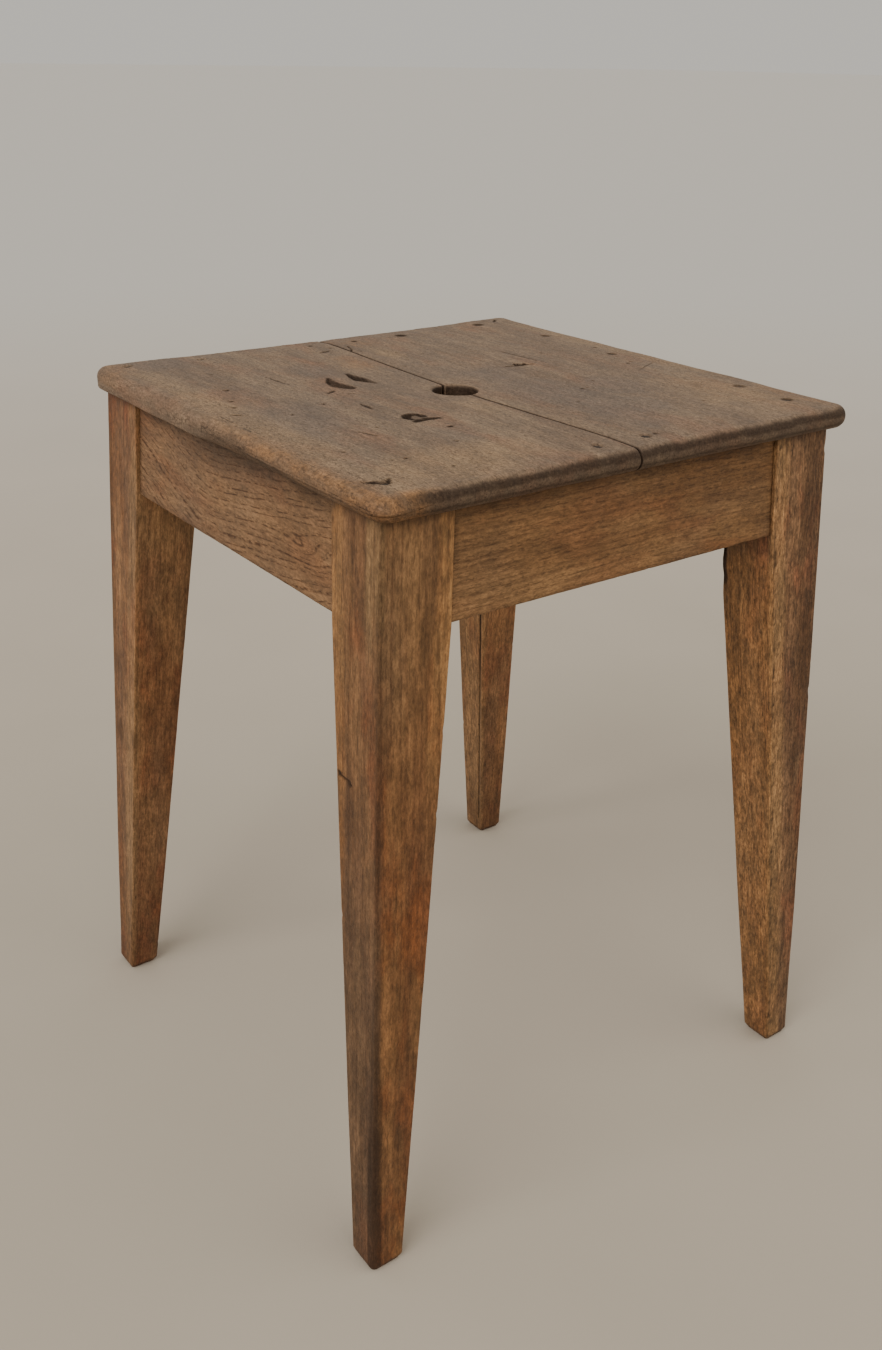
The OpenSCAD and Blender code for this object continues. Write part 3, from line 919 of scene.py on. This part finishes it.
def build_board(name, node, side, seed):
    """One seat board, at the side of the seam given by side: -1 left, 1 right. Both are made as left
    boards about a straight seam, then set in place and bent to the real seam."""
    seam_x = SEAM_HOLE_X + side * SEAM_GAP / 2
    width = abs((SEAT_LEFT if side < 0 else SEAT_RIGHT) - seam_x)
    hole_x = -side * (HOLE[0] - seam_x)
    local, quads = board_plan(width, hole_x)
    hole_gap = np.hypot(local[:, 0] - hole_x, local[:, 1] - HOLE[1]) - HOLE_R
    seam_drop = np.maximum(roundover(np.maximum(-local[:, 0], 0), 0.95),
                           roundover(np.maximum(hole_gap, 0), 2.1) * (hole_gap < 2.1))
    bend = seam_bend(local[:, 1]) * rise(local[:, 0], -width + 15, -5)
    plan = np.column_stack([seam_x - side * local[:, 0] + bend, local[:, 1]])
    if side > 0:
        quads = quads[:, ::-1]
    points, faces = board_solid(plan, quads, seat_top_height(plan), seat_under_height(plan), seam_drop)
    normals = normals_of(points, faces)
    by_edge = rise(edge_distance(points[:, :2]), 9, 3)
    wobble = (0.25 * rough_noise(points, 28.0, seed) + 0.05 * rough_noise(points, 5.0, seed + 1)) * by_edge
    points = points + normals * (wobble - 0.1 * by_edge)[:, None]
    board = make_piece(name, points, faces.tolist(), seat_wear_and_shade(points), [node])
    board.data.materials.append(seat_wood(f"seat_wood_{node}", seed))


# A nail, from the middle of its head to the end of its stub: radius, height.
NAIL_PROFILE = [(0.0, 0.25), (1.2, 0.2), (1.9, 0.05), (2.25, -0.25), (2.2, -0.75), (1.1, -0.9),
                (1.05, -9.0), (0.0, -10.5)]
NAIL_SIDES = 14
NAIL_PROUD = 0.3


def build_nails():
    """Punched nail heads, each a domed, slightly bent disc on a stub of its shank."""
    points, faces = [], []
    for n, (x, y, *_) in enumerate(NAILS):
        top = float(seat_top_height(np.array([[x, y]], float))[0]) + NAIL_PROUD
        start = len(points)
        for r, h in NAIL_PROFILE:
            for k in range(NAIL_SIDES):
                angle = 2 * math.pi * k / NAIL_SIDES
                bend = 1 + 0.10 * math.sin(2 * angle + n) + 0.06 * math.sin(3 * angle + 2.3 * n)
                tilt = 0.05 * r * math.cos(angle + n * 1.7)
                wide = r * bend
                points.append((x + wide * math.cos(angle), y + wide * math.sin(angle), top + h + tilt))
        quads = strip_faces(len(NAIL_PROFILE), NAIL_SIDES, closed=True) + start
        faces.extend(quads[:, ::-1].tolist())
    nails = make_piece("worn_seat_nails", np.array(points), faces, None, ["seat_nails"])
    build = bmesh.new()
    build.from_mesh(nails.data)
    bmesh.ops.remove_doubles(build, verts=build.verts, dist=1e-6)
    bmesh.ops.recalc_face_normals(build, faces=build.faces)
    build.to_mesh(nails.data)
    build.free()
    nails.data.materials.append(nail_iron())


# ---- materials ----

class Graph:
    """Short-hand for one material's nodes. Every method returns an output socket."""

    def __init__(self, name):
        self.material = bpy.data.materials.new(name)
        self.material.use_nodes = True
        self.tree = self.material.node_tree
        self.shader = self.tree.nodes["Principled BSDF"]

    def node(self, kind, inputs=(), **settings):
        made = self.tree.nodes.new(kind)
        for key, value in settings.items():
            setattr(made, key, value)
        for key, value in dict(inputs).items():
            self.put(made.inputs[key], value)
        return made

    def put(self, socket, value):
        if isinstance(value, bpy.types.NodeSocket):
            self.tree.links.new(value, socket)
        else:
            socket.default_value = value

    def math(self, operation, *values):
        return self.node("ShaderNodeMath", dict(enumerate(values)), operation=operation).outputs[0]

    def total(self, *values):
        """The sum of two or more values."""
        result = values[0]
        for value in values[1:]:
            result = self.math("ADD", result, value)
        return result

    def times(self, *values):
        """The product of two or more values."""
        result = values[0]
        for value in values[1:]:
            result = self.math("MULTIPLY", result, value)
        return result

    def vector(self, operation, a, b):
        return self.node("ShaderNodeVectorMath", {0: a, 1: b}, operation=operation).outputs[0]

    def mix(self, amount, a, b):
        made = self.node("ShaderNodeMix", data_type="RGBA")
        self.put(made.inputs["Factor"], amount)
        self.put(made.inputs[6], a)
        self.put(made.inputs[7], b)
        return made.outputs[2]

    def shade(self, colour, amount):
        """The colour made lighter or darker by a factor."""
        grey = self.node("ShaderNodeCombineXYZ", {0: amount, 1: amount, 2: amount}).outputs[0]
        return self.vector("MULTIPLY", colour, grey)

    def step(self, value, start, end, low_value=0.0, high_value=1.0):
        """A smooth change from low_value to high_value while value goes from start to end."""
        made = self.node("ShaderNodeMapRange", {"Value": value, "From Min": start, "From Max": end,
                                                "To Min": low_value, "To Max": high_value},
                         interpolation_type="SMOOTHSTEP")
        return made.outputs["Result"]

    def noise(self, vector, scale, detail=2.0, roughness=0.5, colour=False):
        """Noise with a number of cells a millimetre along each axis."""
        if not isinstance(scale, (int, float)):
            vector = self.vector("MULTIPLY", vector, scale)
            scale = 1.0
        made = self.node("ShaderNodeTexNoise", {"Vector": vector, "Scale": scale, "Detail": detail,
                                                "Roughness": roughness})
        return made.outputs["Color" if colour else "Fac"]

    def place(self):
        """Position in millimetres."""
        return self.vector("MULTIPLY", self.node("ShaderNodeTexCoord").outputs["Object"], (1 / MM,) * 3)

    def grain_space(self, axis, lean):
        """Position with the grain along the third axis. lean is how much the grain slants to the
        first two axes for every millimetre along it."""
        apart = self.node("ShaderNodeSeparateXYZ", {0: self.place()})
        a, b, c = (apart.outputs[k] for k in {"x": "YZX", "y": "ZXY", "z": "XYZ"}[axis])
        a = self.math("MULTIPLY_ADD", c, lean[0], a)
        b = self.math("MULTIPLY_ADD", c, lean[1], b)
        return self.node("ShaderNodeCombineXYZ", {0: a, 1: b, 2: c}).outputs[0]


def rgb(red, green, blue):
    """A colour given as screen values from 0 to 255."""
    linear = [((c / 255 + 0.055) / 1.055)**2.4 if c > 10 else c / 255 / 12.92 for c in (red, green, blue)]
    return (*linear, 1.0)


def eye_field(g, eyes):
    """Sum of round bulges in the growth field, one for each knot: (middle, radii, height)."""
    total = None
    for middle, radii, height in eyes:
        near = g.vector("DIVIDE", g.vector("SUBTRACT", g.place(), middle), radii)
        squared = g.node("ShaderNodeVectorMath", {0: near, 1: near}, operation="DOT_PRODUCT")
        bulge = g.times(g.math("EXPONENT", g.times(squared.outputs["Value"], -1.0)), height)
        total = bulge if total is None else g.total(total, bulge)
    return total


def growth_field(g, look, home, place):
    """A field that runs across the grain. Its level lines are the growth lines. The second value
    is what the eyes add to it, or None."""
    a, b, c = g.node("ShaderNodeSeparateXYZ", {0: home}).outputs
    across_a, across_b = look["across"]
    tilt, curve, middle, soft = look["sweep"]
    off = g.math("SUBTRACT", c, middle)
    bow = g.math("SQRT", g.math("MULTIPLY_ADD", off, off, soft * soft))
    wander = g.times(g.noise(place, (0.035, 0.035, 0.010), detail=3, roughness=0.55), look["wander"])
    field = g.total(g.times(a, across_a), g.times(b, across_b), g.times(off, tilt),
                    g.times(bow, curve), wander)
    eyes = eye_field(g, look.get("eyes", ()))
    if eyes is not None:
        field = g.total(field, eyes)
    uneven = g.node("ShaderNodeCombineXYZ", {0: g.times(field, 0.22)}).outputs[0]
    field = g.total(field, g.times(g.noise(uneven, 1.0, detail=1), look["ring"] * 1.5))
    return field, eyes


def pore_mask(g, look, place, early):
    """Long and short open pores, some of them gathered in the early wood of each year."""
    run = look["pore_run"]
    long_pores = g.step(g.noise(place, (0.95, 0.95, run), detail=2, roughness=0.6), 0.565, 0.615)
    short_pores = g.step(g.noise(place, (1.7, 1.7, 2.2 * run), detail=1, roughness=0.5), 0.585, 0.640)
    gate = g.math("MULTIPLY_ADD", early, look["pore_rows"], 1 - look["pore_rows"])
    return g.times(g.math("MAXIMUM", long_pores, g.times(short_pores, 0.8)), gate)


def wood(name, look):
    """Old open-pored hardwood. look holds what tells one piece from another: directions, colours
    and strengths."""
    g = Graph(name)
    seed = look["seed"]
    home = g.grain_space(look["axis"], look.get("lean", (0.0, 0.0)))
    place = g.vector("ADD", home, (seed * 13.7 % 90, seed * 7.3 % 70, seed * 29.1 % 400))
    field, eyes = growth_field(g, look, home, place)
    phase = g.math("FRACT", g.math("DIVIDE", field, look["ring"]))
    line = g.times(g.step(phase, 0.62, 0.86), g.step(phase, 1.0, 0.90))
    broken = g.step(g.noise(place, (0.55, 0.55, 0.20), detail=2), 0.36, 0.60)
    line = g.times(line, broken)
    early = g.step(phase, 0.50, 0.05)

    broad = g.noise(place, (0.055, 0.055, 0.008), detail=3, roughness=0.6)
    streak = g.noise(place, (0.34, 0.34, 0.009), detail=3, roughness=0.6)
    fibre = g.noise(place, (0.85, 0.85, 0.075), detail=3, roughness=0.7)
    speckle = g.noise(place, (0.62, 0.62, look.get("speckle_run", 0.30)), detail=3, roughness=0.75)
    mottle = g.noise(place, (0.15, 0.15, 0.06), detail=4, roughness=0.65)
    blush = g.noise(place, (0.04, 0.04, 0.015), detail=3, roughness=0.6)

    colour = g.mix(g.step(broad, 0.36, 0.64), look["dark"], look["light"])
    wear_and_painted_light = g.node("ShaderNodeAttribute", attribute_name="wear_and_painted_light", attribute_type="GEOMETRY")
    parts = g.node("ShaderNodeSeparateColor", {0: wear_and_painted_light.outputs["Color"]})
    dirt_and_shade, warm, grey = parts.outputs
    layers = [(g.step(blush, 0.48, 0.66), "blush_share", "blush"),
              (grey, "grey_share", "grey"),
              (wear_and_painted_light.outputs["Alpha"], "pale_share", "pale"),
              (g.times(warm, g.step(mottle, 0.30, 0.60, 0.60, 1.0)), "warm_share", "warm"),
              (g.step(streak, 0.50, 0.68), "streak", "deep"),
              (line, "rings", "deep")]
    for amount, share, tint in layers:
        colour = g.mix(g.times(amount, look[share]), colour, look[tint])
    shades = ((fibre, 0.30, "fibre"), (speckle, 0.28, "speckle"), (mottle, 0.35, "mottle"))
    for grain, low, strength in shades:
        colour = g.shade(colour, g.step(grain, low, 1 - low, 1 - look[strength], 1 + look[strength]))

    pores = pore_mask(g, look, place, early)
    colour = g.mix(g.times(pores, look["pores"]), colour, look["pore"])
    if eyes is not None:
        colour = g.mix(g.step(eyes, 1.5, 6.0, 0.0, look["eye_share"]), colour, look["deep"])
    # The first channel of the attribute darkens the wood towards the dirt colour, for grime and also for
    # painted shade.
    grimy = g.noise(place, (0.7, 0.7, 0.35), detail=3, roughness=0.7)
    colour = g.mix(g.times(dirt_and_shade, g.step(grimy, 0.25, 0.60, 0.80, 1.0)), colour, look["dirt_and_shade"])

    roughness = g.step(mottle, 0.3, 0.7, look["rough"] - 0.06, look["rough"] + 0.08)
    roughness = g.total(roughness, g.times(dirt_and_shade, 0.12), g.times(warm, -0.08))
    height = g.total(g.times(pores, -0.9), g.times(fibre, look["relief"]), g.times(speckle, 0.3),
                     g.times(line, -0.25))
    bump = g.node("ShaderNodeBump", {"Height": height, "Strength": 0.6, "Distance": 0.35 * MM}).outputs[0]
    g.put(g.shader.inputs["Base Color"], colour)
    g.put(g.shader.inputs["Roughness"], roughness)
    g.put(g.shader.inputs["Specular IOR Level"], 0.22)
    g.put(g.shader.inputs["Normal"], bump)
    return g.material


def seat_wood(name, seed):
    return wood(name, dict(
        axis="y", seed=seed, across=(0.25, 1.0), sweep=(0.02, 0.10, 20.0, 60.0), ring=5.5, wander=22.0,
        dark=rgb(120, 100, 83), light=rgb(137, 116, 95), deep=rgb(82, 64, 51), pore=rgb(64, 48, 37),
        blush=rgb(133, 100, 78), blush_share=0.6, grey=rgb(112, 98, 88), grey_share=0.70,
        pale=rgb(155, 127, 96), pale_share=0.8, warm=rgb(146, 103, 62), warm_share=0.68,
        dirt_and_shade=rgb(44, 30, 20),
        streak=0.12, rings=0.14, fibre=0.13, speckle=0.27, speckle_run=0.55, mottle=0.13, pores=0.60,
        pore_rows=0.4, pore_run=0.40, rough=0.60, relief=0.4))


LEG_TINTS = {
    "front_left": dict(dark=rgb(116, 77, 48), light=rgb(142, 101, 64), blush=rgb(138, 82, 46), pores=0.34,
                       fibre=0.13, speckle=0.21, mottle=0.24),
    "front_right": dict(dark=rgb(114, 81, 55), light=rgb(141, 106, 76), blush=rgb(143, 92, 64), pores=0.62,
                        speckle=0.36, fibre=0.26),
    "back_left": dict(dark=rgb(122, 83, 54), light=rgb(148, 107, 72), blush=rgb(131, 77, 49), pores=0.42),
    "back_right": dict(dark=rgb(131, 90, 58), light=rgb(158, 114, 76), blush=rgb(142, 90, 59), pores=0.55),
}


def leg_wood(name, corner):
    leg = LEGS[corner]
    sx, sy = leg["signs"]
    look = dict(
        axis="z", seed=leg["seed"], lean=(sx * LEAN, sy * LEAN), eyes=leg.get("eyes", ()), eye_share=0.6,
        across=(0.9, 0.75), sweep=(0.006, 0.02, 250.0, 60.0), ring=3.4, wander=6.0,
        deep=rgb(82, 53, 35), pore=rgb(47, 32, 24), blush_share=0.8, grey=rgb(94, 83, 71), grey_share=0.60,
        pale=rgb(162, 130, 91), pale_share=0.75, warm=rgb(172, 115, 59), warm_share=0.85,
        dirt_and_shade=rgb(44, 29, 19),
        streak=0.30, rings=0.42, fibre=0.19, speckle=0.25, mottle=0.22, pore_rows=0.35, pore_run=0.17,
        rough=0.52, relief=0.6)
    look.update(LEG_TINTS[corner])
    return wood(name, look)


# The two hidden aprons are alike but for their grain's direction and a tint.
HIDDEN = dict(ring=4.0, wander=9.0, rings=0.5, pore_rows=0.5, pore_run=0.24,
              dark=rgb(121, 88, 60), light=rgb(141, 107, 74))
APRON_LOOKS = {
    "left": dict(axis="y", across=(1.0, 0.3), sweep=(-0.11, -0.31, 25.0, 22.0), ring=4.2, wander=11.0,
                 rings=1.0, eyes=[((-155.0, -84.0, 401.0), (40.0, 26.0, 6.5), 9.0)],
                 pore_rows=0.8, pore_run=0.26,
                 dark=rgb(123, 92, 67), light=rgb(141, 108, 78), blush=rgb(131, 89, 62)),
    "front": dict(axis="x", across=(0.4, 1.0), sweep=(0.03, 0.05, 60.0, 40.0), ring=4.0, wander=9.0,
                  rings=0.55, pore_rows=0.5, pore_run=0.30, dark=rgb(119, 85, 54),
                  light=rgb(143, 107, 71), blush=rgb(128, 84, 54)),
    "back": dict(HIDDEN, axis="x", across=(0.4, 1.0), sweep=(0.02, 0.08, -20.0, 40.0),
                 blush=rgb(123, 84, 55)),
    "right": dict(HIDDEN, axis="y", across=(1.0, 0.3), sweep=(0.04, 0.06, 30.0, 40.0),
                  blush=rgb(126, 86, 58)),
}


def apron_wood(name, side, seed):
    look = dict(
        seed=seed, eye_share=0.0, deep=rgb(80, 54, 36), pore=rgb(53, 36, 27), blush_share=0.6,
        grey=rgb(105, 89, 76), grey_share=0.45, pale=rgb(155, 119, 82), pale_share=0.6,
        warm=rgb(157, 111, 65), warm_share=0.8, dirt_and_shade=rgb(44, 30, 20),
        streak=0.18, fibre=0.16, speckle=0.22, mottle=0.15, pores=0.46, rough=0.56, relief=0.6)
    look.update(APRON_LOOKS[side])
    return wood(name, look)


def nail_iron():
    """Rusted iron, darker in its pits."""
    g = Graph("nail_iron")
    rust = g.noise(g.place(), 0.9, detail=4, roughness=0.7)
    height = g.noise(g.place(), 2.5, detail=3)
    g.put(g.shader.inputs["Base Color"], g.mix(g.step(rust, 0.4, 0.6), rgb(26, 20, 16), rgb(52, 38, 29)))
    g.put(g.shader.inputs["Roughness"], g.step(rust, 0.3, 0.7, 0.65, 0.9))
    g.put(g.shader.inputs["Metallic"], 0.1)
    bump = g.node("ShaderNodeBump", {"Height": height, "Distance": 0.2 * MM})
    g.put(g.shader.inputs["Normal"], bump.outputs[0])
    return g.material


def floor_cloth():
    """Plain pale floor with the faintest unevenness, a little lighter far away."""
    g = Graph("floor_pale")
    tone = g.noise(g.place(), 0.004, detail=3)
    away = g.node("ShaderNodeVectorMath", {0: g.place()}, operation="LENGTH").outputs["Value"]
    near = g.mix(tone, rgb(184, 174, 160), rgb(194, 184, 170))
    threads = g.noise(g.place(), 0.15, detail=4)
    weave = g.node("ShaderNodeBump", {"Height": threads, "Strength": 0.1, "Distance": MM})
    g.put(g.shader.inputs["Base Color"], g.mix(g.step(away, 500.0, 3500.0), near, rgb(197, 194, 190)))
    g.put(g.shader.inputs["Roughness"], 0.95)
    g.put(g.shader.inputs["Normal"], weave.outputs[0])
    return g.material


# ---- stage ----

# Half the floor's width and how far it lies below the feet, in metres.
FLOOR_HALF = 60.0
FLOOR_DROP = 0.0005


def build_floor():
    mesh = bpy.data.meshes.new("studio_floor")
    corners = [(x * FLOOR_HALF, y * FLOOR_HALF, 0) for x, y in ((-1, -1), (1, -1), (1, 1), (-1, 1))]
    mesh.from_pydata(corners, [], [(0, 1, 2, 3)])
    floor = bpy.data.objects.new("studio_floor", mesh)
    bpy.context.scene.collection.objects.link(floor)
    floor.location.z = -FLOOR_DROP
    mesh.materials.append(floor_cloth())


def soft_sun(name, toward, strength, spread, colour):
    """A broad, even light that comes from the direction toward. spread is its width in degrees."""
    data = bpy.data.lights.new(name, "SUN")
    data.energy = strength
    data.angle = math.radians(spread)
    data.color = colour
    lamp = bpy.data.objects.new(name, data)
    bpy.context.scene.collection.objects.link(lamp)
    lamp.rotation_euler = Vector(toward).to_track_quat("Z", "Y").to_euler()


def build_lights():
    soft_sun("window_light", (-0.80, -0.20, 0.62), 1.7, 50, (1.0, 0.96, 0.89))
    soft_sun("room_light", (0.35, -0.60, 0.70), 0.6, 60, (1.0, 0.92, 0.80))
    world = bpy.data.worlds.new("studio_air")
    bpy.context.scene.world = world
    world.use_nodes = True
    world.node_tree.nodes["Background"].inputs[0].default_value = (0.86, 0.82, 0.745, 1)
    world.node_tree.nodes["Background"].inputs[1].default_value = 0.72


CAMERA_AZIMUTH = 36.27
CAMERA_PITCH = -25.56
CAMERA_ROLL = 0.954
CAMERA_AIM = Vector((0.0382, 0.0600, 0.2250))
CAMERA_DISTANCE = 0.9267
CAMERA_LENS = 52.97


def build_camera():
    azimuth, pitch, roll = (math.radians(a) for a in (CAMERA_AZIMUTH, CAMERA_PITCH, CAMERA_ROLL))
    flat = math.cos(pitch)
    ahead = Vector((math.sin(azimuth) * flat, math.cos(azimuth) * flat, math.sin(pitch)))
    level = Vector((math.cos(azimuth), -math.sin(azimuth), 0))
    upright = level.cross(ahead)
    right = level * math.cos(roll) + upright * math.sin(roll)
    up = upright * math.cos(roll) - level * math.sin(roll)
    data = bpy.data.cameras.new("camera")
    data.lens = CAMERA_LENS
    data.sensor_width = 36.0
    data.sensor_fit = "HORIZONTAL"
    data.clip_start = 0.01
    camera = bpy.data.objects.new("camera", data)
    bpy.context.scene.collection.objects.link(camera)
    turn = Matrix((right, up, -ahead)).transposed()
    camera.matrix_world = Matrix.Translation(CAMERA_AIM - ahead * CAMERA_DISTANCE) @ turn.to_4x4()
    bpy.context.scene.camera = camera


build_camera()
build_lights()
build_floor()
build_legs()
build_aprons()
build_board("worn_seat_board_left", "seat_board_left", -1, 2)
build_board("worn_seat_board_right", "seat_board_right", 1, 9)
build_nails()
